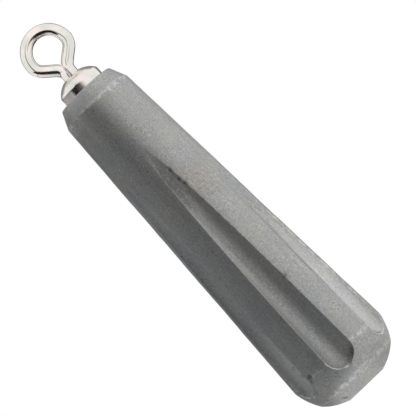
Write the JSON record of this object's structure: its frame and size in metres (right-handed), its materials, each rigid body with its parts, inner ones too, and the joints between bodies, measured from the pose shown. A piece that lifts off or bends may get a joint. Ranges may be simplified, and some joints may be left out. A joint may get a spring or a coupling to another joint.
{
  "type": "fishing sinker",
  "caption": "Tapered round lead sinker with straight flutes, rounded fat end and a swivel cast into its thin end, whose wire eye turns freely for tying on a line.",
  "frame": {"origin": "centre of the small flat at the fat lower end", "axes": "+Z along the sinker's axis from the fat end to the wire eye; the wire loop lies in the XZ plane; a flute faces -Y, the side the picture shows"},
  "size_m": [0.0112, 0.0108, 0.047],
  "materials": {
    "cast_lead": "dull as-cast",
    "nickel_plated_brass": "polished",
    "nickel_plated_wire": "polished"
  },
  "bodies": {
    "sinker": {"sinker_body": "cast_lead", "swivel_barrel": "nickel_plated_brass", "anchor_eye": "nickel_plated_wire"},
    "eye": {"line_eye": "nickel_plated_wire"}
  },
  "joints": [
    {"name": "eye_spin", "type": "hinge", "parent": "sinker", "child": "eye", "pos_m": [0, 0, 0.04097], "axis": [0, 0, 1], "continuous": true}
  ]
}
